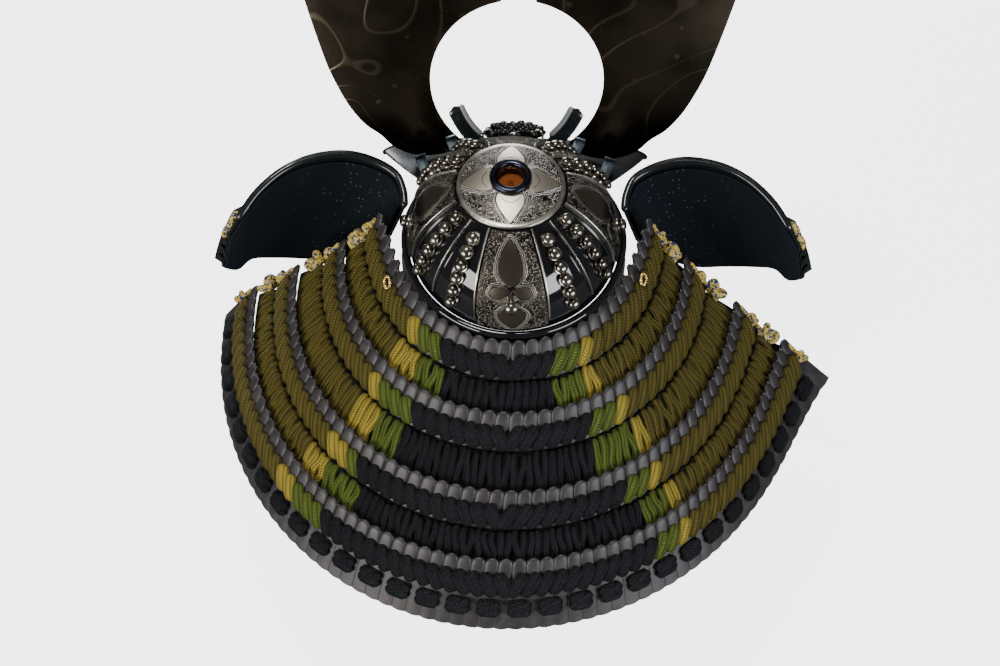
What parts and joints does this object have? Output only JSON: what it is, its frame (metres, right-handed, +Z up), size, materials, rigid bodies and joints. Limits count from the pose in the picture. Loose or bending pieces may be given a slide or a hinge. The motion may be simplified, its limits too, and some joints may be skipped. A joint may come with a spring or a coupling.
{
  "type": "kabuto samurai helmet",
  "caption": "Small display kabuto helmet with ribbed black bowl, engraved crown plate, two broad horns, turn-backs and a laced neck guard.",
  "frame": {"origin": "middle of the bowl's rim opening, in the plane of the rim ring, where a head form sits", "axes": "+Z up through the crown, -Y towards the horns and the visor (the front), +X towards the wearer's left"},
  "size_m": [0.2437, 0.2287, 0.201],
  "materials": {
    "black_lacquer": "mirror-gloss black lacquer",
    "engraved_metal": "engraved antique nickel with dark ground",
    "dark_metal": "polished dark metal",
    "blue_steel": "satin blue-grey metal",
    "bronze_mirror": "polished dark bronze",
    "gilt": "polished gilt",
    "grey_lacquer": "satin grey lacquer",
    "lacing_cord": "twisted cord in olive, yellow, green and black",
    "black_cord": "woven black cord",
    "speckled_cord": "braided cord in gold, blue and white",
    "navy_cloth": "dark navy cloth with small pale dots",
    "tan_cloth": "orange-brown cloth"
  },
  "bodies": {
    "root": {"bowl": "black_lacquer", "crest": "dark_metal", "cross_knots": "black_cord", "crown_lining": "tan_cloth", "crown_plate": "engraved_metal", "crown_ring": "blue_steel", "edge_braid_left": "speckled_cord", "edge_braid_right": "speckled_cord", "eyelet_left": "gilt", "eyelet_right": "gilt", "horn_holder": "black_lacquer", "horn_left": "bronze_mirror", "horn_right": "bronze_mirror", "lame_1": "grey_lacquer", "lame_2": "grey_lacquer", "lame_3": "grey_lacquer", "lame_4": "grey_lacquer", "lining_left": "navy_cloth", "lining_right": "navy_cloth", "narrow_band_1": "lacing_cord", "narrow_band_2": "lacing_cord", "narrow_band_3": "lacing_cord", "narrow_band_4": "lacing_cord", "plate_back": "engraved_metal", "plate_front": "engraved_metal", "plate_left": "engraved_metal", "plate_right": "engraved_metal", "rib_01": "dark_metal", "rib_02": "dark_metal", "rib_03": "dark_metal", "rib_04": "dark_metal", "rib_05": "dark_metal", "rib_06": "dark_metal", "rib_07": "dark_metal", "rib_08": "dark_metal", "rib_09": "dark_metal", "rib_10": "dark_metal", "rib_11": "dark_metal", "rib_12": "dark_metal", "rim_ring": "black_lacquer", "rivets_1": "dark_metal", "rivets_2": "dark_metal", "rivets_3": "dark_metal", "rivets_4": "dark_metal", "rivets_5": "dark_metal", "rivets_6": "dark_metal", "rivets_7": "dark_metal", "rivets_8": "dark_metal", "turnback_left": "black_lacquer", "turnback_right": "black_lacquer", "visor": "black_lacquer", "visor_strap_1": "blue_steel", "visor_strap_2": "blue_steel", "visor_strap_3": "blue_steel", "visor_strap_4": "blue_steel", "wide_band_1": "lacing_cord", "wide_band_2": "lacing_cord", "wide_band_3": "lacing_cord"}
  },
  "joints": []
}
